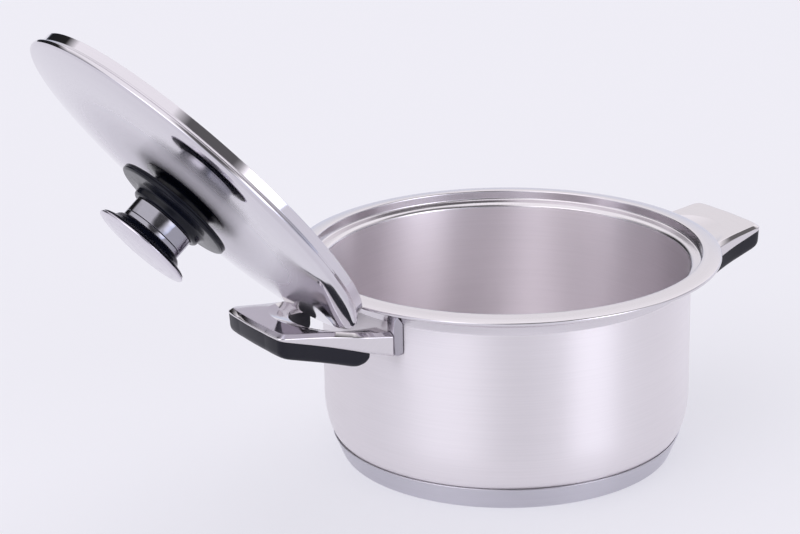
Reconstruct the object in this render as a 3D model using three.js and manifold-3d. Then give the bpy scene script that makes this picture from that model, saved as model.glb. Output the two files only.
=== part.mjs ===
// Stainless steel casserole with two hollow side handles and a domed lid parked in one of them.
// Millimetres, +Z up. Origin: centre of the underside of the base. The handles lie along X.
import * as THREE from 'three';
import { mergeVertices } from 'three/addons/utils/BufferGeometryUtils.js';
import Module from 'manifold-3d';

const wasm = await Module();
wasm.setup();

// Driving dimensions
const GAP = 0.35;                // air left between touching pieces
const POT_OUTER_R = 121;         // outside of the cylindrical wall
const WALL = 1;                  // sheet thickness of pot and lid
const WALL_FOOT_Z = 42;          // height where the rounded foot of the wall ends
const FLOOR_Z = 11.5;            // underside of the pot floor
const FOOT_FLAT_R = 108.5;       // radius where the floor starts to curve up
const RIM_R = 140.9;             // outside of the pouring rim
const SEAT_R = 127.8;            // recess in the rim that the lid drops into
const SEAT_Z = 130.4;            // ledge at the bottom of the recess
const CREST_Z = 137.6;           // highest line of the rim
const LID_R = 127.2;             // bead round the edge of the lid
const LID_SKIRT_R = 124;         // skirt below the bead
const LID_SKIRT_DEPTH = 7;
const LID_RISE = 9;              // height of the dome over the bead
const LID_TILT = THREE.MathUtils.degToRad(129.5);    // lean of the parked lid
const LID_CENTRE = new THREE.Vector3(-226.8, 0, 220.9);
const KNOB_NECK_R = 20.7;
const KNOB_BASE_R = 39;
const KNOB_CAP_R = 31.9;
const SCREW_HOLE_R = 2.9;
const HANDLE_END_X = 191.8;      // outer end of a handle at its corners; the middle bulges 2 mm further
const HANDLE_SHEET = 2;          // sheet thickness of the handle's steel cover
const GRIP_DEPTH = 11.5;         // height of the black grip below the steel
const HANDLE_SLOPE = 0.141;      // rise of the handle's upper face for each millimetre outwards
const DISH_X = 139;              // centre of the round dish in the handle
const DISH_R = 36;
const DISH_DEPTH = 5;
const GRIP_START_X = 133;
const GRIP_SCREW = new THREE.Vector2(152, 30);
const POT_SIDES = 52;            // facets round the pot and the lid
const KNOB_SIDES = 26;

const STEEL = { color: 0xd6d4da, roughness: 0.22, metalness: 1 };
const MIRROR_STEEL = { color: 0xe2e2e8, roughness: 0.06, metalness: 1 };
const ALUMINIUM = { color: 0xb9bcc0, roughness: 0.5, metalness: 1 };
const BRASS = { color: 0xb59a58, roughness: 0.4, metalness: 1 };
const BLACK = { color: 0x26272d, roughness: 0.35, metalness: 0 };

// A closed, outward-facing, indexed solid from any three.js geometry.
function toSolid(geometry) {
  const bare = geometry.clone();
  bare.deleteAttribute('normal');
  bare.deleteAttribute('uv');
  const merged = mergeVertices(bare, 1e-4);
  const position = merged.attributes.position;
  const kept = [];
  let volume = 0;
  const corner = [new THREE.Vector3(), new THREE.Vector3(), new THREE.Vector3()];
  for (let i = 0; i < merged.index.count; i += 3) {
    const abc = [0, 1, 2].map((k) => merged.index.getX(i + k));
    if (new Set(abc).size < 3) continue;
    abc.forEach((v, k) => corner[k].fromBufferAttribute(position, v));
    volume += corner[0].dot(new THREE.Vector3().crossVectors(corner[1], corner[2]));
    kept.push(...abc);
  }
  if (volume < 0) {
    for (let i = 0; i < kept.length; i += 3) {
      [kept[i + 1], kept[i + 2]] = [kept[i + 2], kept[i + 1]];
    }
  }
  return new wasm.Manifold(new wasm.Mesh({
    numProp: 3,
    vertProperties: Float32Array.from(position.array),
    triVerts: Uint32Array.from(kept),
  }));
}

// The three.js geometry of a finished solid.
function toGeometry(solid) {
  const mesh = solid.getMesh();
  const geometry = new THREE.BufferGeometry();
  geometry.setAttribute('position', new THREE.BufferAttribute(Float32Array.from(mesh.vertProperties), 3));
  geometry.setIndex(new THREE.BufferAttribute(Uint32Array.from(mesh.triVerts), 1));
  geometry.computeVertexNormals();
  return geometry;
}

// A [radius, height] profile turned about Z.
function turned(profile, sides) {
  const points = profile.map(([r, z]) => new THREE.Vector2(r, z));
  if (profile[0][0] > 0 || profile.at(-1)[0] > 0) points.push(points[0].clone());
  const lathe = new THREE.LatheGeometry(points, sides);
  lathe.rotateX(Math.PI / 2);
  return toSolid(lathe);
}

// An upright prism of a plan outline, from one height to another.
function prism(shape, low, high, curveSegments = 8) {
  const solid = new THREE.ExtrudeGeometry(shape, { depth: high - low, bevelEnabled: false, curveSegments });
  solid.translate(0, 0, low);
  return toSolid(solid);
}

// A slab seen from the side: an outline of [x, z] points carried along Y.
function slab(points, halfWidth) {
  const shape = new THREE.Shape(points.map(([x, z]) => new THREE.Vector2(x, z)));
  const solid = new THREE.ExtrudeGeometry(shape, { depth: 2 * halfWidth, bevelEnabled: false });
  solid.rotateX(Math.PI / 2);
  solid.translate(0, halfWidth, 0);
  return toSolid(solid);
}

function box(x0, x1, y0, y1, z0, z1) {
  const solid = new THREE.BoxGeometry(x1 - x0, y1 - y0, z1 - z0);
  solid.translate((x0 + x1) / 2, (y0 + y1) / 2, (z0 + z1) / 2);
  return toSolid(solid);
}

function cylinder(x, y, radius, z0, z1, sides = 16) {
  const solid = new THREE.CylinderGeometry(radius, radius, z1 - z0, sides);
  solid.rotateX(Math.PI / 2);
  solid.translate(x, y, (z0 + z1) / 2);
  return toSolid(solid);
}

// Points on an elliptical arc, in degrees counted from +r towards +z.
function arc(cr, cz, a, b, from, to, count) {
  return Array.from({ length: count + 1 }, (_, i) => {
    const t = THREE.MathUtils.degToRad(from + (to - from) * i / count);
    return [cr + a * Math.cos(t), cz + b * Math.sin(t)];
  });
}

function piece(name, solid, finish) {
  const mesh = new THREE.Mesh(toGeometry(solid), new THREE.MeshStandardMaterial(finish));
  mesh.name = name;
  return mesh;
}

// Pot body: floor, rounded foot, straight wall, recessed ledge and flared pouring rim in one sheet.
function potShell() {
  const footDepth = WALL_FOOT_Z - FLOOR_Z;
  const outerFoot = arc(FOOT_FLAT_R, WALL_FOOT_Z, POT_OUTER_R - FOOT_FLAT_R, footDepth, -90, 0, 5);
  const innerR = POT_OUTER_R - WALL;
  const innerFoot = arc(FOOT_FLAT_R, WALL_FOOT_Z, innerR - FOOT_FLAT_R, footDepth - WALL, 0, -90, 5);
  const rim = [
    [POT_OUTER_R, 121.5],
    [121.6, 124.5],
    [123.6, 127.6],
    [128.2, 129.2],
    [130.2, 134.6],
    [139.4, 133.3],
    [RIM_R, 134.8],
    [140.1, 135.9],
    [131, CREST_Z],
    [128.8, 137.2],
    [128, 136],
    [SEAT_R, 132],
    [127.1, 130.8],
    [122.6, SEAT_Z],
    [120.9, 129.2],
    [innerR, 126.5],
  ];
  return turned([[0, FLOOR_Z], ...outerFoot, ...rim, ...innerFoot, [0, FLOOR_Z + WALL]], POT_SIDES);
}

// Steel cup pressed over the heat-spreading disc.
function baseCapsule() {
  return turned([
    [0, 0],
    [107.5, 0],
    [109.6, 0.8],
    [110.7, 2.6],
    [115.8, 15.6],
    [115.1, 15.7],
    [113.9, 13.9],
    [112.7, 11.4],
    [109.2, 2.3],
    [107.8, 1.1],
    [0, 1.1],
  ], POT_SIDES);
}

function baseCore() {
  return turned([[0, 1.5], [107.4, 1.5], [108.7, 2.6], [111.5, 10.2], [110.4, 11], [0, 11]], POT_SIDES);
}

// Half plan outline of a handle, mirrored about X; inset moves every edge inwards.
function handleOutline(inset) {
  const half = [[116, 45.3], [133, 43], [150, 38], [165, 35], [181, 34]];
  const shape = new THREE.Shape();
  const end = HANDLE_END_X - inset;
  const corner = 22 - inset;
  shape.moveTo(half[0][0], inset - half[0][1]);
  half.slice(1).forEach(([x, y]) => shape.lineTo(x, inset - y));
  shape.quadraticCurveTo(end - 1.5, inset - 33.5, end, -corner);
  shape.quadraticCurveTo(end + 4, 0, end, corner);
  shape.quadraticCurveTo(end - 1.5, 33.5 - inset, half.at(-1)[0], half.at(-1)[1] - inset);
  half.slice(0, -1).reverse().forEach(([x, y]) => shape.lineTo(x, y - inset));
  shape.closePath();
  return shape;
}

// The opening between the arms, from the pot wall out to a round end.
function openingOutline(extra) {
  const radius = 27 + extra;
  const centreX = 134;
  const shape = new THREE.Shape();
  shape.moveTo(100, -radius - 2);
  shape.lineTo(centreX, -radius);
  shape.absarc(centreX, 0, radius, -Math.PI / 2, Math.PI / 2, false);
  shape.lineTo(100, radius + 2);
  shape.closePath();
  return shape;
}

// Heights of the handle's upper face and of the lower edge of its steel cover, from the wall outwards.
const topHeight = (x) => 115.8 + HANDLE_SLOPE * (x - 113);
const TOP_LINE = [[110, topHeight(110)], [200, topHeight(200)]];
const STEEL_LOW_LINE = [[110, 99.1], [193.5, 123.7], [200, 124.4]];

function band(topLine, topOffset, lowLine, lowOffset) {
  const top = topLine.map(([x, z]) => [x, z + topOffset]);
  const low = lowLine.map(([x, z]) => [x, z + lowOffset]).reverse();
  return slab([...top, ...low], 60);
}

// The lens-shaped dish: a ball sunk DISH_DEPTH into the sloping upper face, lowered by drop.
function dishBall(drop) {
  const radius = (DISH_R ** 2 + DISH_DEPTH ** 2) / (2 * DISH_DEPTH);
  const normal = new THREE.Vector3(-HANDLE_SLOPE, 0, 1).normalize();
  const centre = normal.multiplyScalar(radius - DISH_DEPTH).add(new THREE.Vector3(DISH_X, 0, topHeight(DISH_X)));
  const cap = arc(0, 0, radius, radius, -90, -70, 8);
  const lens = new THREE.LatheGeometry([...cap, [0, cap.at(-1)[1]]].map(([r, y]) => new THREE.Vector2(r, y)), 48);
  lens.rotateX(Math.PI / 2);
  lens.rotateY(-Math.atan(HANDLE_SLOPE));
  lens.translate(centre.x, centre.y, centre.z - drop);
  return toSolid(lens);
}

const FLAT_LOW = [[110, 80], [200, 80]];

// Steel cover of a handle: sheet top with a round dish, side walls that deepen towards the pot.
function handlePlate() {
  const outside = prism(handleOutline(0), 80, 140).intersect(band(TOP_LINE, 0, STEEL_LOW_LINE, 0));
  const skin = outside.subtract(dishBall(0));
  const inside = prism(handleOutline(HANDLE_SHEET + 0.2), 80, 140)
    .intersect(band(TOP_LINE, -HANDLE_SHEET, FLAT_LOW, 0))
    .subtract(dishBall(HANDLE_SHEET));
  const wallClearance = cylinder(0, 0, 125.4, 80, 140, POT_SIDES * 2);
  return skin.subtract(inside).subtract(prism(openingOutline(0), 80, 140)).subtract(wallClearance);
}

// Black grip: U-shaped body below the steel, with a core that fills the steel cover.
function handleGrip() {
  const pastArms = box(GRIP_START_X, 210, -60, 60, 70, 140);
  const body = prism(handleOutline(0.2), 80, 140)
    .intersect(band(STEEL_LOW_LINE, -GAP, STEEL_LOW_LINE, -GRIP_DEPTH));
  const core = prism(handleOutline(HANDLE_SHEET + 0.6), 80, 140)
    .intersect(band(TOP_LINE, -HANDLE_SHEET - GAP, STEEL_LOW_LINE, -2))
    .subtract(dishBall(HANDLE_SHEET + GAP));
  let grip = body.add(core).intersect(pastArms).subtract(prism(openingOutline(0.8), 80, 140));
  for (const side of [-1, 1]) {
    const y = side * GRIP_SCREW.y;
    grip = grip
      .subtract(cylinder(GRIP_SCREW.x, y, 2.4, 80, 140, 12))
      .subtract(cylinder(GRIP_SCREW.x, y, 4.2, 80, 104.4));
  }
  return grip;
}

function gripScrew(side) {
  const y = side * GRIP_SCREW.y;
  const head = cylinder(GRIP_SCREW.x, y, 3.8, 101.1, 104);
  const shank = cylinder(GRIP_SCREW.x, y, 2, 103, 117.2, 10);
  const slot = (a, b) => box(GRIP_SCREW.x - a, GRIP_SCREW.x + a, y - b, y + b, 100, 102.5);
  return head.add(shank).subtract(slot(2.2, 0.45)).subtract(slot(0.45, 2.2));
}

// Weld bracket: a pad that follows the pot wall, with a tongue into the handle's hollow arm.
function bracket(side) {
  const ring = turned([[121.4, 101.2], [125, 101.2], [125, 127.4], [121.4, 127.4]], POT_SIDES);
  const flare = turned([[118, 121], [121.4, 121], [122.1, 124.3], [124.2, 127.2], [124.2, 129], [118, 129]], POT_SIDES);
  const [near, far] = [39.6 * side, 47.6 * side].sort((a, b) => a - b);
  const pad = ring.intersect(box(100, 130, near, far, 90, 130)).subtract(flare);
  const [inner, outer] = [36.5 * side, 40.4 * side].sort((a, b) => a - b);
  const tongue = box(117, 128, inner, outer, 103.5, 112)
    .subtract(cylinder(0, 0, 123, 90, 130, POT_SIDES));
  return pad.add(tongue);
}

function lidShell() {
  const dome = (rise) => Array.from({ length: 6 }, (_, i) => {
    const part = (i + 1) / 6;
    return [LID_SKIRT_R * part, rise - 1.6 * part ** 2 - 3 * part ** 6];
  });
  return turned([
    [SCREW_HOLE_R, LID_RISE],
    ...dome(LID_RISE),
    [126.4, 3.6],
    [LID_R, 2],
    [126.4, 0.5],
    [LID_SKIRT_R + 0.6, 0],
    [LID_SKIRT_R, -0.8],
    [LID_SKIRT_R, -LID_SKIRT_DEPTH],
    [LID_SKIRT_R - WALL, -LID_SKIRT_DEPTH],
    [LID_SKIRT_R - WALL, 2.6],
    ...dome(LID_RISE - WALL).reverse().slice(1),
    [SCREW_HOLE_R, LID_RISE - WALL],
  ], POT_SIDES);
}

// Knob pieces, each a [radius, height] profile over the lid's bead plane.
const KNOB = [
  ['knob_foot', BLACK, [
    [3.2, 9.35], [29, 9.35], [29.5, 9.8], [23.6, 10.9], [21.6, 12.4], [21, 17], [3.2, 17],
  ]],
  ['knob_base', BLACK, [
    [3.2, 17.35], [36.5, 17.35], [38.6, 18.2], [KNOB_BASE_R, 19.6], [38.7, 21.2], [37.4, 21.9],
    [25.2, 22.8], [24.2, 24.2], [24, 27.6], [22.6, 28.6], [3.2, 28.6],
  ]],
  ['knob_core', BLACK, [[5.6, 28.95], [15.9, 28.95], [15.9, 41.4], [5.6, 41.4]]],
  ['knob_sleeve', MIRROR_STEEL, [[16.3, 28.95], [KNOB_NECK_R, 28.95], [KNOB_NECK_R, 38.2], [16.3, 38.2]]],
  ['knob_neck_ring', MIRROR_STEEL, [[16.3, 38.6], [KNOB_NECK_R, 38.6], [KNOB_NECK_R, 41.4], [16.3, 41.4]]],
  ['knob_collar', BLACK, [
    [0, 41.8], [22, 41.8], [23.3, 43], [24.4, 44.6], [27.2, 46.4], [30.4, 47.2], [30.6, 47.9], [0, 47.9],
  ]],
  ['knob_cap', MIRROR_STEEL, [
    [0, 48.25], [31, 48.25], [KNOB_CAP_R, 49.1], [31.4, 50.2], [26, 51.4], [16, 52.5], [0, 53],
  ]],
  ['knob_insert', BRASS, [[2.9, 29.6], [5.2, 29.6], [5.2, 40.8], [2.9, 40.8]]],
  ['knob_washer', STEEL, [[3, 6.2], [9, 6.2], [9, 7.6], [3, 7.6]]],
  ['knob_screw', STEEL, [[0, 2.4], [5.2, 2.4], [6, 3.2], [6, 5.8], [2.5, 5.8], [2.5, 40], [0, 40]]],
];

const casserole = new THREE.Group();
casserole.add(piece('pot_shell', potShell(), STEEL));
casserole.add(piece('base_capsule', baseCapsule(), MIRROR_STEEL));
casserole.add(piece('base_core', baseCore(), ALUMINIUM));

const plate = handlePlate();
const grip = handleGrip();
for (const [side, turn] of [['right', 0], ['left', Math.PI]]) {
  const handle = new THREE.Group();
  handle.rotation.z = turn;
  handle.add(piece(`${side}_handle_plate`, plate, MIRROR_STEEL));
  handle.add(piece(`${side}_handle_grip`, grip, BLACK));
  for (const [end, sign] of [['front', turn === 0 ? -1 : 1], ['rear', turn === 0 ? 1 : -1]]) {
    handle.add(piece(`${side}_bracket_${end}`, bracket(sign), STEEL));
    handle.add(piece(`${side}_grip_screw_${end}`, gripScrew(sign), STEEL));
  }
  casserole.add(handle);
}

const lid = new THREE.Group();
lid.position.copy(LID_CENTRE);
lid.rotation.y = -LID_TILT;
lid.add(piece('lid_shell', lidShell(), MIRROR_STEEL));
for (const [name, finish, profile] of KNOB) {
  lid.add(piece(name, turned(profile, KNOB_SIDES), finish));
}
casserole.add(lid);

export default casserole;
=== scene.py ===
"""Looks of a stainless steel casserole whose domed lid leans in its left handle.

Lengths inside the classes are millimetres; a mesh is scaled to metres when it is made. The origin is
the centre of the underside of the base, +Z is up and the handles lie along X.
"""

import logging
import math
from dataclasses import dataclass
from enum import Enum

import bmesh
import bpy
import numpy as np
from mathutils import Matrix


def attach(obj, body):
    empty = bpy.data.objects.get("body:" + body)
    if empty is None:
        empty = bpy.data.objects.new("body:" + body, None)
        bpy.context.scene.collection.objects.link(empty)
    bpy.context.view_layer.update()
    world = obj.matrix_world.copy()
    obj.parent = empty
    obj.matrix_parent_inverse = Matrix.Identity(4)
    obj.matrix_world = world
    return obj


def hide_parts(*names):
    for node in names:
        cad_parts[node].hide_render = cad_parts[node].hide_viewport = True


log = logging.getLogger("casserole")
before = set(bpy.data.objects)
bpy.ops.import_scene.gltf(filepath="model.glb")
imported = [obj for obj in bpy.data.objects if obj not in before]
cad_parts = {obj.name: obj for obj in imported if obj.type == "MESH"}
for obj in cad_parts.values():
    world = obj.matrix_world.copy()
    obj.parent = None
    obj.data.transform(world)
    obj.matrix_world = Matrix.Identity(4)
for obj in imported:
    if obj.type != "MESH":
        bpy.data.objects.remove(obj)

MM = 0.001
ROUND_SIDES = 288
SHARP_ANGLE = math.radians(38)
Colour = tuple[float, float, float, float]


class Side(Enum):
    """Which side of the pot a handle is on; the value is the sign of its X."""

    RIGHT = 1
    LEFT = -1


class Body(Enum):
    """The rigid bodies of the frame."""

    POT = "pot"
    LID = "lid"


# --------------------------------------------------------------------------- curves and surfaces


def rounded(corners: list[tuple[float, ...]], steps: int = 6, closed: bool = False) -> np.ndarray:
    """Polyline through corners, each eased by a quadratic curve.

    A corner P with ease d becomes (1-t)^2 A + 2t(1-t) P + t^2 B, where A and B lie d before and after P
    on its two edges, and d is held under 0.48 of either edge.

    Args:
        corners: Rows of (a, b) or (a, b, ease) in millimetres.
        steps: Spans in each eased corner.
        closed: Whether the last corner joins the first.

    Returns:
        An array of points, one row each.
    """
    places = np.array([c[:2] for c in corners], dtype=float)
    eases = [c[2] if len(c) > 2 else 0.0 for c in corners]
    count = len(places)
    t = np.linspace(0, 1, steps + 1)[:, None]
    out: list[np.ndarray] = []
    for i, (place, ease) in enumerate(zip(places, eases)):
        at_end = not closed and i in (0, count - 1)
        if ease <= 0 or at_end:
            out.append(place[None])
            continue
        before, after = places[i - 1] - place, places[(i + 1) % count] - place
        reach = min(ease, 0.48 * np.linalg.norm(before), 0.48 * np.linalg.norm(after))
        a = place + before / np.linalg.norm(before) * reach
        b = place + after / np.linalg.norm(after) * reach
        out.append((1 - t) ** 2 * a + 2 * t * (1 - t) * place + t**2 * b)
    return np.concatenate(out)


def spaced(line: np.ndarray, gap: float) -> np.ndarray:
    """Adds points to a polyline so that no span is longer than gap.

    Args:
        line: Points, one row each.
        gap: Longest span in millimetres.

    Returns:
        The finer polyline.
    """
    spans = np.linalg.norm(np.diff(line, axis=0), axis=1)
    parts = np.maximum(1, np.ceil(spans / gap)).astype(int)
    pieces = [
        a + (b - a) * np.linspace(0, 1, n, endpoint=False)[:, None]
        for a, b, n in zip(line, line[1:], parts)
    ]
    return np.concatenate([*pieces, line[-1:]])


def grid_faces(rows: int, columns: int, wrap_rows: bool, wrap_columns: bool) -> np.ndarray:
    """Quads of a rows x columns grid of vertices.

    Args:
        rows: Vertices in the first direction.
        columns: Vertices in the second direction.
        wrap_rows: Whether the last row joins the first.
        wrap_columns: Whether the last column joins the first.

    Returns:
        An array of vertex indices, four to a row.
    """
    i = np.arange(rows if wrap_rows else rows - 1)[:, None]
    j = np.arange(columns if wrap_columns else columns - 1)[None, :]
    i2, j2 = (i + 1) % rows, (j + 1) % columns
    quads = [i * columns + j, i2 * columns + j, i2 * columns + j2, i * columns + j2]
    return np.stack([np.broadcast_to(q, (i.size, j.size)) for q in quads], axis=-1).reshape(-1, 4)


def revolved(profile: np.ndarray, sides: int = ROUND_SIDES) -> np.ndarray:
    """Grid of a profile turned about Z: (r cos a, r sin a, z) for a round the circle.

    Args:
        profile: Rows of (radius, height).
        sides: Steps round the circle.

    Returns:
        A sides x points x 3 grid.
    """
    angle = np.linspace(0, 2 * np.pi, sides, endpoint=False)[:, None]
    r, z = profile[:, 0][None], profile[:, 1][None]
    height = np.broadcast_to(z, (sides, len(profile)))
    return np.stack([r * np.cos(angle), r * np.sin(angle), height], axis=-1)


def make_object(name: str, grid: np.ndarray, wrap_rows: bool, wrap_columns: bool) -> bpy.types.Object:
    """Makes an object from a grid of points in millimetres.

    Args:
        name: Name of the piece.
        grid: Rows x columns x 3 points.
        wrap_rows: Whether the last row joins the first.
        wrap_columns: Whether the last column joins the first.

    Returns:
        The new object, at the origin.
    """
    rows, columns = grid.shape[:2]
    faces = grid_faces(rows, columns, wrap_rows, wrap_columns)
    mesh = bpy.data.meshes.new(name)
    mesh.from_pydata((grid.reshape(-1, 3) * MM).tolist(), [], faces.tolist())
    obj = bpy.data.objects.new(name, mesh)
    bpy.context.collection.objects.link(obj)
    return obj


def weld(obj: bpy.types.Object, cap: bool = False, angle: float = SHARP_ANGLE) -> None:
    """Merges doubles, closes open ends if asked, faces the mesh outwards and smooths it.

    Args:
        obj: The object to finish.
        cap: Whether open ends are filled.
        angle: Edges sharper than this stay crisp.
    """
    work = bmesh.new()
    work.from_mesh(obj.data)
    bmesh.ops.remove_doubles(work, verts=work.verts, dist=1e-7)
    bmesh.ops.dissolve_degenerate(work, edges=work.edges, dist=1e-8)
    if cap:
        bmesh.ops.holes_fill(work, edges=[e for e in work.edges if e.is_boundary], sides=0)
    bmesh.ops.recalc_face_normals(work, faces=work.faces)
    work.to_mesh(obj.data)
    work.free()
    obj.data.shade_smooth()
    obj.data.set_sharp_from_angle(angle=angle)


# --------------------------------------------------------------------------- shader graphs


class Graph:
    """A small typed wrapper round a node tree."""

    def __init__(self, tree: bpy.types.NodeTree) -> None:
        """Keeps the tree that nodes are added to."""
        self.tree = tree

    def add(
        self, kind: str, inputs: dict[str | int, object] | None = None, **settings: object,
    ) -> bpy.types.Node:
        """Adds a node.

        Args:
            kind: Node type without its ShaderNode prefix, or a full type name.
            inputs: Socket values, or sockets to link from.
            settings: Properties of the node.

        Returns:
            The new node.
        """
        node = self.tree.nodes.new(kind if kind.startswith("Node") else "ShaderNode" + kind)
        for key, value in settings.items():
            setattr(node, key, value)
        for key, value in (inputs or {}).items():
            if isinstance(value, bpy.types.NodeSocket):
                self.tree.links.new(value, node.inputs[key])
            else:
                node.inputs[key].default_value = value
        return node

    def maths(self, operation: str, a: object, b: object = 0.0, c: object = 0.0) -> bpy.types.NodeSocket:
        """Adds a Math node and returns its output."""
        return self.add("Math", {0: a, 1: b, 2: c}, operation=operation).outputs[0]

    def ranged(
        self, value: object, low: float, high: float, to_low: float, to_high: float,
    ) -> bpy.types.NodeSocket:
        """Adds a clamped Map Range node and returns its output."""
        ends = {"Value": value, "From Min": low, "From Max": high, "To Min": to_low, "To Max": to_high}
        return self.add("MapRange", ends).outputs[0]


def new_group(
    name: str, ins: dict[str, tuple[str, float]], outs: dict[str, str],
) -> tuple[Graph, object, object]:
    """Makes an empty shader node group.

    Args:
        name: Name of the group.
        ins: Input names with their socket kind and default.
        outs: Output names with their socket kind.

    Returns:
        The group's graph, its input node and its output node.
    """
    tree = bpy.data.node_groups.new(name, "ShaderNodeTree")
    for label, (kind, default) in ins.items():
        socket = tree.interface.new_socket(label, in_out="INPUT", socket_type="NodeSocket" + kind)
        if kind == "Float":
            socket.default_value = default
    for label, kind in outs.items():
        tree.interface.new_socket(label, in_out="OUTPUT", socket_type="NodeSocket" + kind)
    graph = Graph(tree)
    return graph, graph.add("NodeGroupInput"), graph.add("NodeGroupOutput")


def brushing_group() -> bpy.types.NodeTree:
    """Marks that run round an axis, as a turning or polishing wheel leaves them.

    The noise is read at (cos a, sin a, (z + r) pitch), so it is long round the axis and short across it.
    """
    ins = {"Vector": ("Vector", 0), "Pitch": ("Float", 3000.0), "Length": ("Float", 2.0)}
    graph, source, out = new_group("brushing", ins, {"Height": "Float", "Mask": "Float"})
    split = graph.add("SeparateXYZ", {0: source.outputs["Vector"]})
    x, y, z = split.outputs
    squares = graph.maths("ADD", graph.maths("MULTIPLY", x, x), graph.maths("MULTIPLY", y, y))
    radius = graph.maths("SQRT", squares)
    safe = graph.maths("MAXIMUM", radius, 1e-4)
    across = graph.maths("MULTIPLY", graph.maths("ADD", z, radius), source.outputs["Pitch"])
    round_x = graph.maths("MULTIPLY", graph.maths("DIVIDE", x, safe), source.outputs["Length"])
    round_y = graph.maths("MULTIPLY", graph.maths("DIVIDE", y, safe), source.outputs["Length"])
    place = graph.add("CombineXYZ", {0: round_x, 1: round_y, 2: across}).outputs[0]
    detail = {"Vector": place, "Scale": 1.0, "Detail": 3.0, "Roughness": 0.6}
    fine = graph.add("TexNoise", detail).outputs[0]
    broad_place = graph.add("VectorMath", {0: place, 1: (1.0, 1.0, 0.4)}, operation="MULTIPLY").outputs[0]
    broad = graph.add("TexNoise", {"Vector": broad_place, "Scale": 1.0, "Detail": 2.0}).outputs[0]
    graph.tree.links.new(fine, out.inputs["Height"])
    graph.tree.links.new(graph.ranged(broad, 0.3, 0.7, 0.0, 1.0), out.inputs["Mask"])
    return graph.tree


def smudge_group() -> bpy.types.NodeTree:
    """Faint handling marks: a broad cloud broken up by a finer one, from 0 clean to 1 dull."""
    ins = {"Vector": ("Vector", 0), "Size": ("Float", 14.0)}
    graph, source, out = new_group("smudges", ins, {"Mask": "Float"})
    cloud = {"Vector": source.outputs["Vector"], "Scale": source.outputs["Size"], "Detail": 2.0}
    broad = graph.add("TexNoise", cloud)
    size = graph.maths("MULTIPLY", source.outputs["Size"], 7.3)
    fine = graph.add("TexNoise", {"Vector": source.outputs["Vector"], "Scale": size, "Detail": 1.0})
    both = graph.maths("MULTIPLY", graph.ranged(broad.outputs[0], 0.3, 0.75, 0, 1), fine.outputs[0])
    graph.tree.links.new(graph.ranged(both, 0.0, 0.8, 0, 1), out.inputs["Mask"])
    return graph.tree


def moulding_group() -> bpy.types.NodeTree:
    """Fine spark-eroded grain of moulded plastic, with a slow change in tone."""
    ins = {"Vector": ("Vector", 0), "Grain": ("Float", 2600.0)}
    graph, source, out = new_group("moulding", ins, {"Height": "Float", "Tone": "Float"})
    vector = source.outputs["Vector"]
    grain = graph.add("TexNoise", {"Vector": vector, "Scale": source.outputs["Grain"], "Detail": 2.0})
    tone = graph.add("TexNoise", {"Vector": vector, "Scale": 30.0, "Detail": 3.0})
    graph.tree.links.new(grain.outputs[0], out.inputs["Height"])
    graph.tree.links.new(tone.outputs[0], out.inputs["Tone"])
    return graph.tree


class Effects:
    """The shared node groups, built once."""

    def __init__(self) -> None:
        """Builds every shared group."""
        self.brushing = brushing_group()
        self.smudges = smudge_group()
        self.moulding = moulding_group()


@dataclass(frozen=True)
class AxisFrame:
    """Where a turned piece's axis is: a point in millimetres and its lean about Y in radians."""

    centre: tuple[float, float, float] = (0.0, 0.0, 0.0)
    lean: float = 0.0

    def place(self, grid: np.ndarray) -> np.ndarray:
        """Moves a grid from the axis's own frame to the pot's: turn by -lean about Y, then shift."""
        c, s = math.cos(self.lean), math.sin(self.lean)
        x, y, z = grid[..., 0], grid[..., 1], grid[..., 2]
        return np.stack([c * x - s * z, y, s * x + c * z], axis=-1) + np.array(self.centre)

    def mapped(self, graph: Graph) -> bpy.types.NodeSocket:
        """Object coordinates seen from the axis's own frame.

        Args:
            graph: The material's graph.

        Returns:
            A vector socket whose Z runs along the axis.
        """
        coords = graph.add("TexCoord").outputs["Object"]
        shift = tuple(-v * MM for v in self.centre)
        moved = graph.add("VectorMath", {0: coords, 1: shift}, operation="ADD").outputs[0]
        turn = (0.0, self.lean, 0.0)
        return graph.add("Mapping", {"Vector": moved, "Rotation": turn}, vector_type="POINT").outputs[0]


# --------------------------------------------------------------------------- finishes

BRUSH_DEPTH = 0.00005  # metres
GRAIN_DEPTH = 0.00004  # metres
BRUSH_SHARE = 0.8  # weight of the brushing beside the smudges in a steel's roughness
BRUSH_AND_SMUDGES = 1.4  # sum of both masks at which a steel is as rough as it gets
PALE_MARK, DEEP_MARK = 1.012, 0.985  # tint between and on the brush marks
ACROSS_MARKS = 0.25  # quarter turn, so that highlights stretch across the brushing
CROWN_REACH = (0.06, 0.108)  # metres from the frame's centre, between which the crown fades out
CROWN_METALLIC = 0.45  # lowered in the crown to keep the knob's mirror image faint
PLASTIC_SPREAD = 0.12  # roughness that smudges add to plastic
PLASTIC_TONES = (0.85, 1.2)  # darkest and palest tone of plastic
COAT_ROUGHNESS = 0.08


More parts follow.
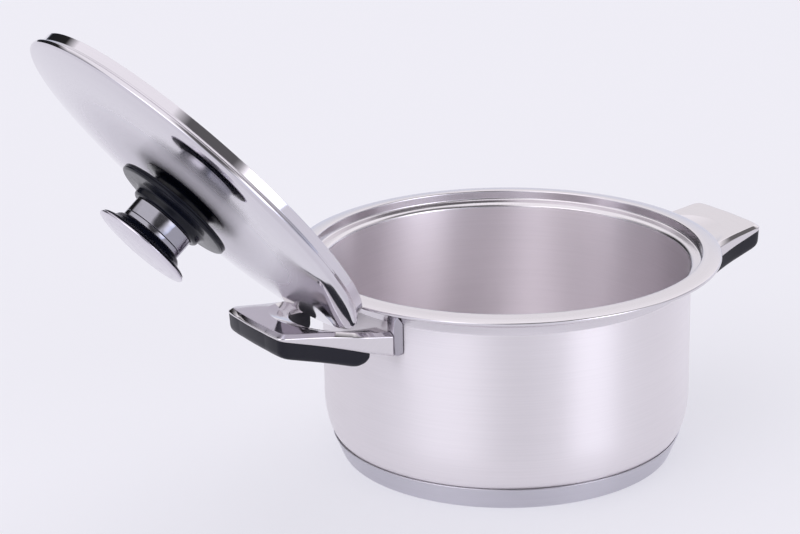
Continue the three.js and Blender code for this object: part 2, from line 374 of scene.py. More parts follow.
@dataclass(frozen=True)
class SteelFinish:
    """Metal, from mirror to satin.

    The colour and roughness sit on a Principled shader; brushing gives the bump and part of the
    roughness, and smudges the rest. A crown above 0 adds that much roughness towards the axis, where
    the finish is also less metallic.
    """

    name: str
    tint: tuple[float, float, float] = (0.87, 0.835, 0.86)
    roughness: float = 0.08
    spread: float = 0.03
    anisotropy: float = 0.0
    bump: float = 0.0
    pitch: float = 3000.0
    axis: AxisFrame = AxisFrame()
    crown: float = 0.0

    def build(self, effects: Effects) -> bpy.types.Material:
        """Builds the material.

        Args:
            effects: The shared node groups.

        Returns:
            The finished material.
        """
        material = bpy.data.materials.new(self.name)
        material.use_nodes = True
        graph = Graph(material.node_tree)
        shader = material.node_tree.nodes["Principled BSDF"]
        vector = self.axis.mapped(graph)
        marks = graph.add("Group", node_tree=effects.brushing)
        marks.inputs["Pitch"].default_value = self.pitch
        graph.tree.links.new(vector, marks.inputs["Vector"])
        dull = graph.add("Group", node_tree=effects.smudges)
        graph.tree.links.new(vector, dull.inputs["Vector"])
        brushed = graph.maths("MULTIPLY", marks.outputs["Mask"], BRUSH_SHARE)
        both = graph.maths("ADD", brushed, dull.outputs["Mask"])
        rough = graph.ranged(both, 0.0, BRUSH_AND_SMUDGES, self.roughness, self.roughness + self.spread)
        if self.crown:
            middle = graph.add("VectorMath", {0: vector}, operation="LENGTH").outputs["Value"]
            rough = graph.maths("ADD", rough, graph.ranged(middle, *CROWN_REACH, self.crown, 0.0))
        graph.tree.links.new(rough, shader.inputs["Roughness"])
        pale = tuple(min(1.0, v * PALE_MARK) for v in self.tint) + (1.0,)
        deep = tuple(v * DEEP_MARK for v in self.tint) + (1.0,)
        colour = graph.add("Mix", {"Factor": marks.outputs["Mask"]}, data_type="RGBA")
        colour.inputs[6].default_value, colour.inputs[7].default_value = pale, deep
        graph.tree.links.new(colour.outputs[2], shader.inputs["Base Color"])
        shader.inputs["Metallic"].default_value = 1.0
        if self.crown:
            metallic = graph.ranged(middle, *CROWN_REACH, CROWN_METALLIC, 1.0)
            graph.tree.links.new(metallic, shader.inputs["Metallic"])
        shader.inputs["Anisotropic"].default_value = self.anisotropy
        shader.inputs["Anisotropic Rotation"].default_value = ACROSS_MARKS
        if self.bump:
            relief = {"Height": marks.outputs["Height"], "Strength": self.bump, "Distance": BRUSH_DEPTH}
            bump = graph.add("Bump", relief)
            graph.tree.links.new(bump.outputs[0], shader.inputs["Normal"])
        if self.anisotropy:
            tangent = graph.add("Tangent", direction_type="RADIAL", axis="Z")
            graph.tree.links.new(tangent.outputs[0], shader.inputs["Tangent"])
        return material


@dataclass(frozen=True)
class PlasticFinish:
    """Black moulded plastic, satin on the grips and glossy on the knob."""

    name: str
    tint: tuple[float, float, float]
    roughness: float
    grain: float
    coat: float = 0.0
    shine: float = 0.33

    def build(self, effects: Effects) -> bpy.types.Material:
        """Builds the material.

        Args:
            effects: The shared node groups.

        Returns:
            The finished material.
        """
        material = bpy.data.materials.new(self.name)
        material.use_nodes = True
        graph = Graph(material.node_tree)
        shader = material.node_tree.nodes["Principled BSDF"]
        vector = graph.add("TexCoord").outputs["Object"]
        skin = graph.add("Group", node_tree=effects.moulding)
        graph.tree.links.new(vector, skin.inputs["Vector"])
        dull = graph.add("Group", node_tree=effects.smudges)
        graph.tree.links.new(vector, dull.inputs["Vector"])
        roughest = self.roughness + PLASTIC_SPREAD
        rough = graph.ranged(dull.outputs["Mask"], 0.0, 1.0, self.roughness, roughest)
        graph.tree.links.new(rough, shader.inputs["Roughness"])
        colour = graph.add("Mix", {"Factor": skin.outputs["Tone"]}, data_type="RGBA")
        for slot, tone in zip((6, 7), PLASTIC_TONES):
            colour.inputs[slot].default_value = tuple(v * tone for v in self.tint) + (1.0,)
        graph.tree.links.new(colour.outputs[2], shader.inputs["Base Color"])
        relief = {"Height": skin.outputs["Height"], "Strength": self.grain, "Distance": GRAIN_DEPTH}
        bump = graph.add("Bump", relief)
        graph.tree.links.new(bump.outputs[0], shader.inputs["Normal"])
        shader.inputs["Specular IOR Level"].default_value = self.shine
        shader.inputs["Coat Weight"].default_value = self.coat
        shader.inputs["Coat Roughness"].default_value = COAT_ROUGHNESS
        return material


# --------------------------------------------------------------------------- the pot


def show(obj: bpy.types.Object, body: Body, slot: str, *nodes: str) -> bpy.types.Object:
    """Joins a piece to the frame by its body and hides the nodes it stands for.

    Args:
        obj: The piece.
        body: The body it moves with.
        slot: The record's material slot; not used.
        nodes: The solids it replaces.

    Returns:
        The same piece.
    """
    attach(obj, body.value)
    if nodes:
        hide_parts(*nodes)
    log.info("%s: %d faces", obj.name, len(obj.data.polygons))
    return obj


def quarter(centre: tuple[float, float], a: float, b: float, start: float, end: float) -> np.ndarray:
    """Arc of an ellipse, (r0 + a cos t, z0 + b sin t), from one angle to another in degrees."""
    t = np.radians(np.linspace(start, end, 25))
    return np.stack([centre[0] + a * np.cos(t), centre[1] + b * np.sin(t)], axis=1)


@dataclass
class Pot:
    """The pot body and its encapsulated base."""

    outer_radius: float = 121.0
    wall: float = 1.0
    floor_height: float = 11.5
    flat_radius: float = 108.5
    foot_top: float = 42.0

    def rim(self) -> np.ndarray:
        """Flared pouring rim, from the outside of the wall over the crest to the ledge."""
        inner = self.outer_radius - self.wall
        return rounded([
            (self.outer_radius, 118.0),
            (self.outer_radius, 122.3, 2.5),
            (123.4, 127.8, 3.0),
            (128.4, 129.3, 1.8),
            (130.0, 134.7, 1.4),
            (136.9, 134.5, 1.5),
            (139.4, 133.3, 0.9),
            (140.85, 133.9, 0.8),
            (140.75, 135.9, 1.0),
            (136.0, 137.1, 3.0),
            (131.0, 137.6, 2.5),
            (128.2, 137.5, 1.1),
            (127.7, 131.0, 1.2),
            (122.0, 130.35, 1.3),
            (inner + 0.1, 128.6, 1.6),
            (inner, 122.0),
        ])

    def build_shell(
        self, outside: bpy.types.Material, edge: bpy.types.Material, inside: bpy.types.Material,
    ) -> None:
        """Turns the sheet of the pot and gives its outside, rim and inside their finishes.

        Args:
            outside: Finish of the outer wall.
            edge: Finish of the rim.
            inside: Finish of the inner wall and floor.
        """
        outer, inner = self.outer_radius, self.outer_radius - self.wall
        depth = self.foot_top - self.floor_height
        centre = (self.flat_radius, self.foot_top)
        low = np.array([[0.0, self.floor_height], [self.flat_radius, self.floor_height]])
        out_foot = quarter(centre, outer - self.flat_radius, depth, -90, 0)
        in_foot = quarter(centre, inner - self.flat_radius, depth - self.wall, 0, -90)
        high = low[::-1] + (0.0, self.wall)
        rim = self.rim()
        outer_part = spaced(np.concatenate([low, out_foot[1:], rim[:2]]), 6.0)
        inner_part = spaced(np.concatenate([rim[-1:], in_foot, high[1:]]), 6.0)
        profile = np.concatenate([outer_part[:-1], rim, inner_part[1:]])
        obj = make_object("pot_body", revolved(profile), True, False)
        columns = len(profile) - 1
        slots = np.zeros(columns, dtype=np.int32)
        slots[len(outer_part) + 1 :] = 1
        slots[len(outer_part) + len(rim) - 4 :] = 2
        obj.data.materials.append(outside)
        obj.data.materials.append(edge)
        obj.data.materials.append(inside)
        obj.data.polygons.foreach_set("material_index", np.tile(slots, ROUND_SIDES))
        weld(obj)
        show(obj, Body.POT, "satin_steel", "pot_shell")

    def build_base(self, finish: bpy.types.Material) -> None:
        """Turns the steel cup round the base, with its rolled lower edge and its lip against the wall.

        Args:
            finish: Finish of the cup.
        """
        profile = rounded([
            (0.0, 0.0),
            (106.6, 0.0, 2.0),
            (109.9, 0.5, 1.6),
            (111.0, 3.2, 1.5),
            (115.6, 14.5, 1.0),
            (116.2, 15.4, 0.5),
            (115.3, 15.9, 0.5),
            (112.7, 11.4, 1.0),
            (109.2, 2.3, 1.0),
            (107.8, 1.1, 0.8),
            (0.0, 1.1),
        ])
        obj = make_object("base_cup", revolved(spaced(profile, 8.0)), True, False)
        obj.data.materials.append(finish)
        weld(obj)
        show(obj, Body.POT, "mirror_steel", "base_capsule")


# --------------------------------------------------------------------------- the handles


@dataclass
class SideHandle:
    """A hollow steel handle cover, its black grip and the brackets that carry it.

    Shapes are worked out for the handle at +X, in a plan frame centred on hub, where rays from hub meet
    the opening at opening_radius and the outline further out. The other handle is turned half round.
    """

    side: Side
    hub: float = 134.0
    opening_radius: float = 27.0
    arm_tip_outer: float = 117.2
    arm_tip_inner: float = 122.6
    slope: float = 0.141
    dish_centre: float = 139.0
    dish_radius: float = 36.0
    dish_depth: float = 5.0
    bevel_drop: float = 2.5
    bevel_run: float = 3.3
    lip: float = 3.4
    sheet: float = 1.4
    grip_depth: float = 11.5
    grip_start: float = 133.2
    grip_bend: float = 144.0
    screw_place: tuple[float, float] = (152.0, 30.0)
    stations: int = 220

    def top(self, x: np.ndarray) -> np.ndarray:
        """Height of the sloping upper plane: 115.8 + slope (x - 113)."""
        return 115.8 + self.slope * (x - 113.0)

    def surface(self, x: np.ndarray, y: np.ndarray) -> np.ndarray:
        """Upper face: the plane less a dish of depth d (1 - (r / R)^2) inside its rim."""
        r2 = ((x - self.dish_centre) ** 2 + y**2) / self.dish_radius**2
        return self.top(x) - self.dish_depth * np.maximum(0.0, 1.0 - r2)

    def steel_edge(self, x: np.ndarray) -> np.ndarray:
        """Height of the lower edge of the steel cover: a straight line from the pot outwards."""
        return 100.0 + 0.2946 * (x - 113.0)

    def outline(self) -> np.ndarray:
        """Plan outline past the hub: nearly straight sides, eased corners and a slightly bulged end."""
        side = [
            (133.9, 43.0), (150.0, 38.0, 9.0), (165.0, 35.1, 9.0), (181.0, 34.0, 8.0), (191.4, 33.2, 12.0),
        ]
        back = [(x, y, *ease) for x, y, *ease in reversed(side)]
        front = [(x, -y, *ease) for x, y, *ease in side]
        return rounded([*front, (193.9, 0.0, 24.0), *back], steps=14)

    def plan(self, inset: float, start: float) -> tuple[np.ndarray, np.ndarray]:
        """Outer and inner edges of the U-shaped cover at each station.

        On the arms a station is a line across the arm; past the hub it is a ray at angle a, which meets
        the outline where its radius, read off the outline by angle, says, and the opening at its radius.

        Args:
            inset: How far the inner edge stands back from the opening.
            start: X at which the arms start on their outer edge.

        Returns:
            The outer and the inner points, one row each.
        """
        line = self.outline() - (self.hub, 0.0)
        bearing, reach = np.arctan2(line[:, 1], line[:, 0]), np.hypot(line[:, 0], line[:, 1])
        angle = np.linspace(-np.pi / 2, np.pi / 2, self.stations)
        ray = np.stack([np.cos(angle), np.sin(angle)], axis=1)
        outer = ray * np.interp(angle, bearing, reach)[:, None] + (self.hub, 0.0)
        inner = ray * (self.opening_radius + inset) + (self.hub, 0.0)
        along = np.linspace(0, 1, 24, endpoint=False)[:, None]
        narrowing = (self.hub - start) / (self.hub - self.arm_tip_outer)
        tip_in = start + (self.arm_tip_inner - self.arm_tip_outer) * narrowing
        arm_out = np.array([start, -(43.0 + 0.14 * (self.hub - start))]) * (1 - along) + outer[0] * along
        arm_root = np.array([tip_in, inner[0, 1] - 0.06 * (self.hub - tip_in)])
        arm_in = arm_root * (1 - along) + inner[0] * along
        mirror = np.array([1.0, -1.0])
        outer = np.concatenate([arm_out, outer, arm_out[::-1] * mirror])
        inner = np.concatenate([arm_in, inner, arm_in[::-1] * mirror])
        return outer, inner

    def turned(self, grid: np.ndarray) -> np.ndarray:
        """Turns a grid half round the pot's axis for the left handle."""
        return grid * np.array([self.side.value, self.side.value, 1.0])

    def build_cover(self, finish: bpy.types.Material) -> None:
        """Builds the steel cover: wall, bevel, dished top and lip carried round the U.

        A section is a line of (run inwards, drop below the upper face) with eased corners.

        Args:
            finish: Finish of the cover.
        """
        outer, inner = self.plan(0.0, self.arm_tip_outer)
        width = np.linalg.norm(inner - outer, axis=1)
        wall_drop = self.top(outer[:, 0]) - self.steel_edge(outer[:, 0])
        rows = []
        for drop, run in zip(wall_drop, width):
            corners = [(0.0, drop), (0.0, self.bevel_drop, 0.6), (self.bevel_run, 0.0, 0.7)]
            edge = rounded([*corners, (run, 0.0, 1.6), (run, self.lip)], steps=5)
            walled = np.linspace(edge[0], edge[1], 6, endpoint=False)
            flat = np.linspace(edge[12], edge[13], 44, endpoint=False)
            rows.append(np.concatenate([walled, edge[1:12], flat, edge[13:]]))
        section = np.stack(rows)
        inward = ((inner - outer) / width[:, None])[:, None, :]
        place = outer[:, None, :] + inward * section[..., :1]
        height = self.surface(place[..., 0], place[..., 1]) - section[..., 1]
        grid = self.turned(np.concatenate([place, height[..., None]], axis=-1))
        name = f"{self.side.name.lower()}_handle_cover"
        obj = make_object(name, grid, False, False)
        obj.data.materials.append(finish)
        weld(obj, angle=math.radians(50))
        self.face_up(obj)
        shell = obj.modifiers.new("sheet", "SOLIDIFY")
        shell.thickness = self.sheet * MM
        shell.offset = -1.0
        shell.use_even_offset = True
        show(obj, Body.POT, "mirror_steel", f"{self.side.name.lower()}_handle_plate")

    @staticmethod
    def face_up(obj: bpy.types.Object) -> None:
        """Turns an open sheet over if most of its area faces down."""
        lean = sum(p.normal.z * p.area for p in obj.data.polygons)
        if lean < 0:
            obj.data.flip_normals()

    def build_grip(self, finish: bpy.types.Material) -> None:
        """Builds the black grip: a closed section carried round the U, with bent-up arm ends.

        Its underside is grip_depth below the steel, and rises as a quarter ellipse at the arm ends.

        Args:
            finish: Finish of the grip.
        """
        outer, inner = self.plan(0.8, self.grip_start)
        width = np.linalg.norm(inner - outer, axis=1)
        inward = (inner - outer) / width[:, None]

        def under(x: np.ndarray) -> np.ndarray:
            """Height of the underside at x."""
            bend = np.clip((self.grip_bend - x) / (self.grip_bend - self.grip_start + 0.6), 0.0, 1.0)
            return self.steel_edge(x) - 0.3 - self.grip_depth * np.sqrt(1.0 - bend**2)

        rows = []
        for start, way, run in zip(outer, inward, width):
            spot = start + way * np.array([[0.25], [0.9], [run - 0.4], [run], [2.7], [2.7]])
            x, y = spot[:, 0], spot[:, 1]
            heights = [
                self.steel_edge(x[0]) - 0.3,
                under(x[1]),
                under(x[2]),
                self.surface(x[3], y[3]) - 3.8,
                self.top(x[4]) - 3.0,
                self.steel_edge(x[5]) - 0.3,
            ]
            eases = [0.35, 4.5, 3.5, 0.8, 0.5, 0.0]
            runs = [0.25, 0.9, run - 0.4, run, 2.7, 2.7]
            rows.append(rounded(list(zip(runs, heights, eases)), steps=7, closed=True))
        section = np.stack(rows)
        place = outer[:, None, :] + inward[:, None, :] * section[..., :1]
        grid = self.turned(np.concatenate([place, section[..., 1:]], axis=-1))
        name = f"{self.side.name.lower()}_grip"
        obj = make_object(name, grid, False, True)
        weld(obj, cap=True)
        self.bore(obj)
        obj.data.materials.clear()
        obj.data.materials.append(finish)
        weld(obj)
        show(obj, Body.POT, "grip_plastic", f"{self.side.name.lower()}_handle_grip")

    def bore(self, obj: bpy.types.Object) -> None:
        """Cuts a counterbore for each grip screw.

        Args:
            obj: The grip.
        """
        x, y = self.screw_place
        for sign in (-1, 1):
            profile = np.array([
                [0.0, 80.0], [4.2, 80.0], [4.2, 104.4], [2.4, 104.4], [2.4, 118.0], [0.0, 118.0],
            ])
            grid = revolved(profile, 40) + np.array([x, sign * y, 0.0])
            cutter = make_object("cutter", self.turned(grid), True, False)
            weld(cutter)
            cut = obj.modifiers.new("bore", "BOOLEAN")
            cut.object = cutter
            cut.operation = "DIFFERENCE"
            cut.solver = "EXACT"
            evaluated = obj.evaluated_get(bpy.context.evaluated_depsgraph_get())
            shaped = bpy.data.meshes.new_from_object(evaluated)
            obj.modifiers.clear()
            obj.data = shaped
            bpy.data.objects.remove(cutter)

    def build_brackets(self, finish: bpy.types.Material) -> None:
        """Builds the two weld pads: rounded plates bent to the wall, with a soft outer edge.

        A plate is a stack of rounded outlines (y, z) at rising radius r, put at x = sqrt(r^2 - y^2).

        Args:
            finish: Finish of the pads.
        """
        for sign in (-1, 1):
            layers = [(121.4, 0.4, 122.5), (121.5, 0.0, 123.2), (124.3, 0.0, 127.0), (125.0, 0.7, 126.4)]
            rings = []
            for radius, inset, high in layers:
                y0, y1, z0, z1 = 39.6 + inset, 47.6 - inset, 101.2 + inset, high
                corners = [(y0, z0, 2.0), (y1, z0, 2.0), (y1, z1, 1.6), (y0, z1, 1.6)]
                loop = rounded(corners, steps=6, closed=True)
                bent = np.sqrt(radius**2 - loop[:, 0] ** 2)
                rings.append(np.stack([bent, sign * loop[:, 0], loop[:, 1]], axis=1))
            centres = [np.broadcast_to(r.mean(axis=0), r.shape) for r in (rings[0], rings[-1])]
            grid = np.stack([centres[0], *rings, centres[1]])
            near = "front" if sign * self.side.value < 0 else "rear"
            name = f"{self.side.name.lower()}_weld_pad_{near}"
            obj = make_object(name, self.turned(grid), False, True)
            obj.data.materials.append(finish)
            weld(obj)
            show(obj, Body.POT, "satin_steel", f"{self.side.name.lower()}_bracket_{near}")


# --------------------------------------------------------------------------- the lid and its knob


@dataclass
class Lid:
    """The lid and the turned pieces of its knob, all on one leaning axis."""

    axis: AxisFrame
    rise: float = 9.0
    skirt_radius: float = 124.0
    sheet: float = 1.0
    screw_hole: float = 2.9

    def dome(self, lift: float, ends: tuple[float, float]) -> np.ndarray:
        """Dome: h = lift - 1.6 s^2 - 3 s^6, where s = r / skirt_radius, from one radius to another."""
        r = np.linspace(ends[0], ends[1], 34)
        part = r / self.skirt_radius
        return np.stack([r, lift - 1.6 * part**2 - 3.0 * part**6], axis=1)

    def build_shell(self, outside: bpy.types.Material, inside: bpy.types.Material) -> None:
        """Turns dome, bead, groove and skirt, and the underside.

        Args:
            outside: Finish of dome, bead and skirt.
            inside: Finish of the underside.
        """
        hole, skirt = self.screw_hole, self.skirt_radius
        top = self.dome(self.rise, (hole, 122.5))
        edge = rounded([
            tuple(top[-1]),
            (125.3, 4.3, 1.2),
            (127.2, 3.4, 0.9),
            (127.3, 0.9, 0.9),
            (125.2, 0.1, 0.5),
            (124.5, -0.9, 0.4),
            (skirt, -1.3, 0.4),
            (skirt, -7.0, 0.4),
            (skirt - self.sheet, -7.0, 0.4),
            (skirt - self.sheet, 0.4, 1.5),
            (120.5, 3.8, 1.5),
        ])
        under = self.dome(self.rise - self.sheet, (118.0, hole))
        profile = np.concatenate([top[:-1], edge, under, top[:1]])
        obj = make_object("lid_dome", self.axis.place(revolved(profile)), True, False)
        slots = np.zeros(len(profile) - 1, dtype=np.int32)
        slots[len(top) + len(edge) - 13 :] = 1
        obj.data.materials.append(outside)
        obj.data.materials.append(inside)
        obj.data.polygons.foreach_set("material_index", np.tile(slots, ROUND_SIDES))
        weld(obj, angle=math.radians(60))
        show(obj, Body.LID, "mirror_steel", "lid_shell")

    def build_turned(self, name: str, node: str, corners: list[tuple[float, ...]], closed: bool, slot: str,
                     finish: bpy.types.Material) -> None:
        """Turns one piece of the knob.

        Args:
            name: Name of the piece.
            node: The solid it stands for.
            corners: Profile corners, (radius, height) or (radius, height, ease).
            closed: Whether the profile closes on itself, as a ring does.
            slot: The record's material slot.
            finish: Finish of the piece.
        """
        profile = rounded(corners, steps=6, closed=closed)
        if closed:
            profile = np.concatenate([profile, profile[:1]])
        obj = make_object(name, self.axis.place(revolved(spaced(profile, 3.0), 160)), True, False)
        obj.data.materials.append(finish)
        weld(obj)
        show(obj, Body.LID, slot, node)

    def build_knob(
        self, black: bpy.types.Material, steel: bpy.types.Material, sleeve: bpy.types.Material,
    ) -> None:
        """Turns the knob's visible stack from the foot on the dome to the cap.

        Args:
            black: Finish of the moulded pieces.
            steel: Finish of the cap and rings.
            sleeve: Finish of the neck.
        """
        self.build_turned("knob_spacer", "knob_foot", [
            (3.2, 9.35), (29.0, 9.35, 0.2), (29.5, 9.8, 0.2), (23.6, 10.7, 1.5), (21.4, 12.2, 2.0),
            (21.0, 17.0, 0.2), (3.2, 17.0),
        ], True, "knob_plastic", black)
        self.build_turned("knob_flange", "knob_base", [
            (3.2, 17.35), (36.4, 17.35, 1.4), (38.9, 18.1, 1.0), (39.0, 19.1, 0.4), (38.4, 19.4, 0.3),
            (38.9, 19.8, 0.4), (38.9, 20.9, 1.0), (37.5, 21.9, 0.8), (26.0, 22.6, 1.4), (24.4, 24.0, 1.0),
            (24.0, 27.4, 1.1), (22.6, 28.6, 0.6), (3.2, 28.6),
        ], True, "knob_plastic", black)
        self.build_turned("knob_neck_sleeve", "knob_sleeve", [
            (16.3, 28.95), (20.7, 28.95, 0.25), (20.7, 38.3, 0.3), (16.3, 38.3),
        ], True, "mirror_steel", sleeve)
        self.build_turned("knob_neck_band", "knob_neck_ring", [
            (16.3, 38.6), (20.7, 38.6, 0.3), (20.7, 41.4, 0.25), (16.3, 41.4),
        ], True, "mirror_steel", sleeve)
        self.build_turned("knob_bell", "knob_collar", [
            (0.0, 41.8), (21.8, 41.8, 0.8), (23.2, 43.0, 1.2), (24.6, 45.3, 2.0), (29.6, 46.9, 1.4),
            (30.7, 47.5, 0.3), (30.5, 47.9, 0.2), (0.0, 47.9),
        ], False, "knob_plastic", black)
        self.build_turned("knob_top_cap", "knob_cap", [
            (0.0, 48.25), (30.9, 48.25, 0.4), (31.9, 48.9, 0.5), (31.7, 50.0, 0.6), (29.6, 50.7, 1.4),
            (20.0, 52.1, 8.0), (0.0, 53.0),
        ], False, "mirror_steel", steel)


# --------------------------------------------------------------------------- the studio


@dataclass(frozen=True)
class Panel:
    """A round patch of the room: bearing, rise, radius and soft edge in degrees, and its level."""

    bearing: float
    rise: float
    radius: float
    soft: float
    level: float

    def way(self) -> tuple[float, float, float]:
        """Direction of the patch's middle."""
        b, e = math.radians(self.bearing), math.radians(self.rise)
        return (math.cos(b) * math.cos(e), math.sin(b) * math.cos(e), math.sin(e))


@dataclass
class Studio:
    """A pale floor, a soft bright room and the camera."""

    distance: float = 1.544
    height: float = 0.6484
    bearing: float = math.radians(35.26)
    aim_down: float = 0.327
    aim_side: float = -0.045
    roll: float = -0.017
    lens: float = 111.6
    floor_size: float = 24.0
    floor_glow: float = 0.585
    floor_colour: tuple[float, ...] = (0.34, 0.34, 0.35, 1.0)
    glow_colour: tuple[float, ...] = (0.925, 0.915, 1.0, 1.0)
    room_strength: float = 1.2
    horizon_colour: tuple[float, ...] = (0.56, 0.60, 0.74, 1.0)
    ceiling_colour: tuple[float, ...] = (0.96, 0.94, 0.97, 1.0)
    panels: tuple[Panel, ...] = (
        Panel(-120.0, 18.0, 10.0, 10.0, 0.36),
        Panel(-100.0, 42.0, 16.0, 10.0, 0.12),
        Panel(-45.0, 52.0, 14.0, 10.0, 0.15),
        Panel(-166.0, 20.0, 14.0, 14.0, 1.8),
        Panel(-72.0, 12.0, 9.0, 12.0, 2.7),
        Panel(-22.0, 15.0, 14.0, 14.0, 0.5),
        Panel(132.0, 15.0, 16.0, 14.0, 0.45),
        Panel(97.0, 5.0, 19.0, 10.0, 0.02),
        Panel(58.0, 25.0, 14.0, 14.0, 0.84),
    )

    def build_camera(self) -> None:
        """Places the camera on a circle round the pot's axis and aims it by pitch, yaw and roll."""
        ahead = np.array([
            math.sin(self.aim_side) * math.cos(self.aim_down),
            math.cos(self.aim_side) * math.cos(self.aim_down),
            -math.sin(self.aim_down),
        ])
        right = np.cross(ahead, (0.0, 0.0, 1.0))
        right /= np.linalg.norm(right)
        up = np.cross(right, ahead)
        c, s = math.cos(self.roll), math.sin(self.roll)
        columns = np.stack([c * right + s * up, c * up - s * right, -ahead], axis=1)
        cb, sb = math.cos(self.bearing), math.sin(self.bearing)
        swing = np.array([[cb, sb, 0.0], [-sb, cb, 0.0], [0.0, 0.0, 1.0]])
        matrix = np.eye(4)
        matrix[:3, :3] = swing @ columns
        matrix[:3, 3] = swing @ np.array([0.0, -self.distance, self.height])
        data = bpy.data.cameras.new("camera")
        data.lens = self.lens
        camera = bpy.data.objects.new("camera", data)
        camera.matrix_world = Matrix(matrix.tolist())
        bpy.context.collection.objects.link(camera)
        bpy.context.scene.camera = camera

    def build_floor(self) -> None:
        """Lays the pale floor: paper lit from above and a little from below, so that shadows stay faint."""
        half = self.floor_size / 2
        mesh = bpy.data.meshes.new("floor")
        corners = [(-half, -half, 0), (half, -half, 0), (half, half, 0), (-half, half, 0)]
        mesh.from_pydata(corners, [], [(0, 1, 2, 3)])
        floor = bpy.data.objects.new("floor", mesh)
        bpy.context.collection.objects.link(floor)
        material = bpy.data.materials.new("floor_paper")
        material.use_nodes = True
        shader = material.node_tree.nodes["Principled BSDF"]
        shader.inputs["Base Color"].default_value = self.floor_colour
        shader.inputs["Specular IOR Level"].default_value = 0.0
        shader.inputs["Roughness"].default_value = 0.8
        shader.inputs["Emission Color"].default_value = self.glow_colour
        shader.inputs["Emission Strength"].default_value = self.floor_glow
        mesh.materials.append(material)

    def build_room(self) -> None:
        """Paints the room into the world: a pale dome, bright soft panels and dim gaps between them."""
        world = bpy.data.worlds.new("room")
        bpy.context.scene.world = world
        world.use_nodes = True
        graph = Graph(world.node_tree)
        background = world.node_tree.nodes["Background"]
        direction = graph.add("TexCoord").outputs["Generated"]
        lift = graph.add("SeparateXYZ", {0: direction}).outputs[2]
        sky = graph.add("Mix", {"Factor": graph.ranged(lift, -0.02, 0.35, 0, 1)}, data_type="RGBA")
        sky.inputs[6].default_value = self.horizon_colour
        sky.inputs[7].default_value = self.ceiling_colour
        shade: object = 1.0
        for panel in self.panels:
            towards = {0: direction, 1: panel.way()}
            near = graph.add("VectorMath", towards, operation="DOT_PRODUCT").outputs["Value"]
            core = math.cos(math.radians(panel.radius))
            edge = math.cos(math.radians(panel.radius + panel.soft))
            shade = graph.maths("MULTIPLY", shade, graph.ranged(near, edge, core, 1.0, panel.level))
        dimmed = graph.add("VectorMath", {0: sky.outputs[2], "Scale": shade}, operation="SCALE").outputs[0]
        graph.tree.links.new(dimmed, background.inputs["Color"])
        background.inputs["Strength"].default_value = self.room_strength

    def build(self) -> None:
        """Builds the studio."""
        self.build_camera()
        self.build_floor()
        self.build_room()
        bpy.context.scene.view_settings.view_transform = "Standard"


# --------------------------------------------------------------------------- assembly


def dress(node: str, finish: bpy.types.Material) -> None:
    """Gives a carried-over solid its finish.

    Args:
        node: Name of the solid.
        finish: The material.
    """
    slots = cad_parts[node].data.materials
    slots.clear()
    slots.append(finish)
    log.info("%s dressed", node)


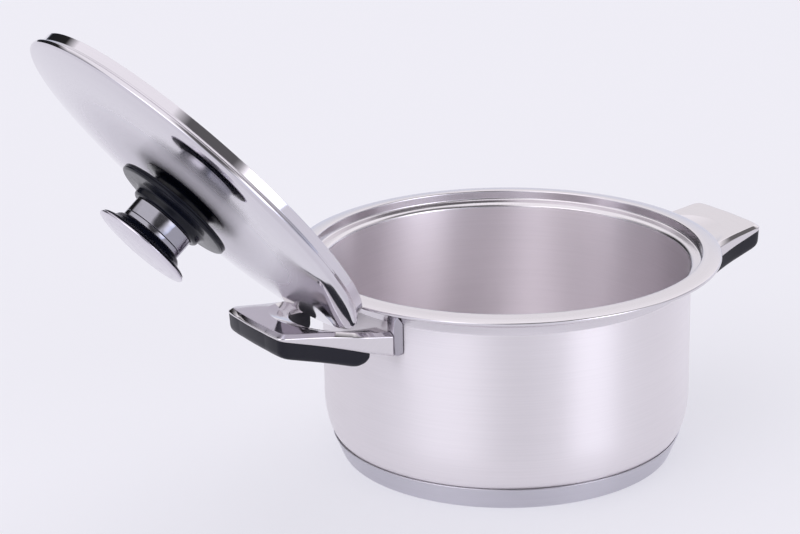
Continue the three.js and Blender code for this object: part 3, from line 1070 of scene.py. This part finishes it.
def main() -> None:
    """Builds every piece in order."""
    logging.basicConfig(level=logging.INFO, format="%(message)s")
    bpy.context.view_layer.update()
    studio = Studio()
    studio.build()
    effects = Effects()
    upright = AxisFrame()
    leaning = AxisFrame((-226.8, 0.0, 220.9), math.radians(129.5))

    satin = SteelFinish(
        "satin_wall", (0.87, 0.83, 0.855), roughness=0.33, spread=0.015,
        anisotropy=0.9, bump=0.01, pitch=2600.0, axis=upright,
    ).build(effects)
    polished_rim = SteelFinish(
        "polished_rim", (0.72, 0.69, 0.72), roughness=0.16, spread=0.04, anisotropy=0.5, axis=upright,
    ).build(effects)
    brushed = SteelFinish(
        "brushed_inside", (0.91, 0.865, 0.905), roughness=0.38, spread=0.05,
        anisotropy=0.9, bump=0.06, pitch=2200.0, axis=upright,
    ).build(effects)
    # Painted shade: the base cup's tint is darker and bluer than real steel. It stands in for the shaded
    # floor that the cup reflects.
    cup = SteelFinish(
        "base_cup_painted_shade", (0.64, 0.625, 0.68), roughness=0.34, spread=0.06,
        anisotropy=0.9, bump=0.04, pitch=1500.0, axis=upright,
    ).build(effects)
    mirror = SteelFinish(
        "mirror_steel", (0.72, 0.69, 0.715), roughness=0.05, spread=0.04, axis=upright,
    ).build(effects)
    # Painted shade: the weld pads' tint is far darker than real steel. It stands in for the shade they sit
    # in under the handle covers.
    shaded_pad_mirror = SteelFinish(
        "pad_steel_painted_shade", (0.44, 0.42, 0.46), roughness=0.16, spread=0.05, axis=upright,
    ).build(effects)
    lid_mirror = SteelFinish(
        "lid_mirror", (0.68, 0.655, 0.70), roughness=0.045, spread=0.012, crown=0.4, axis=leaning,
    ).build(effects)
    lid_under = SteelFinish(
        "lid_underside", (0.66, 0.63, 0.66), roughness=0.34, spread=0.06, bump=0.1, axis=leaning,
    ).build(effects)
    # Painted shade and reflection: the neck's tint is far darker and bluer than real steel. It stands in
    # for the dark knob parts the neck reflects.
    neck = SteelFinish(
        "neck_chrome_painted_shade", (0.35, 0.345, 0.39), roughness=0.08, spread=0.04, bump=0.05, axis=leaning,
    ).build(effects)
    cap = SteelFinish(
        "cap_steel", (0.70, 0.67, 0.73), roughness=0.1, spread=0.2,
        bump=0.9, pitch=700.0, axis=leaning,
    ).build(effects)
    turned_steel = SteelFinish(
        "turned_steel", roughness=0.28, spread=0.1, bump=0.2, axis=upright,
    ).build(effects)
    grip_black = PlasticFinish(
        "grip_black", (0.004, 0.004, 0.011), roughness=0.36, grain=0.2,
    ).build(effects)
    knob_black = PlasticFinish(
        "knob_black", (0.004, 0.005, 0.011), roughness=0.18, grain=0.06, coat=0.05, shine=0.2,
    ).build(effects)
    core = SteelFinish(
        "aluminium_core", (0.7, 0.71, 0.73), roughness=0.4, spread=0.1, axis=upright,
    ).build(effects)
    brass = SteelFinish(
        "brass_insert", (0.72, 0.52, 0.25), roughness=0.3, spread=0.1, axis=leaning,
    ).build(effects)

    pot = Pot()
    pot.build_shell(satin, polished_rim, brushed)
    pot.build_base(cup)
    for side in Side:
        handle = SideHandle(side)
        handle.build_cover(mirror)
        handle.build_grip(grip_black)
        handle.build_brackets(shaded_pad_mirror)
        for end in ("front", "rear"):
            dress(f"{side.name.lower()}_grip_screw_{end}", turned_steel)
    lid = Lid(leaning)
    lid.build_shell(lid_mirror, lid_under)
    lid.build_knob(knob_black, cap, neck)
    dress("base_core", core)
    dress("knob_core", knob_black)
    dress("knob_insert", brass)
    dress("knob_washer", turned_steel)
    dress("knob_screw", turned_steel)


if __name__ == "__main__":
    main()
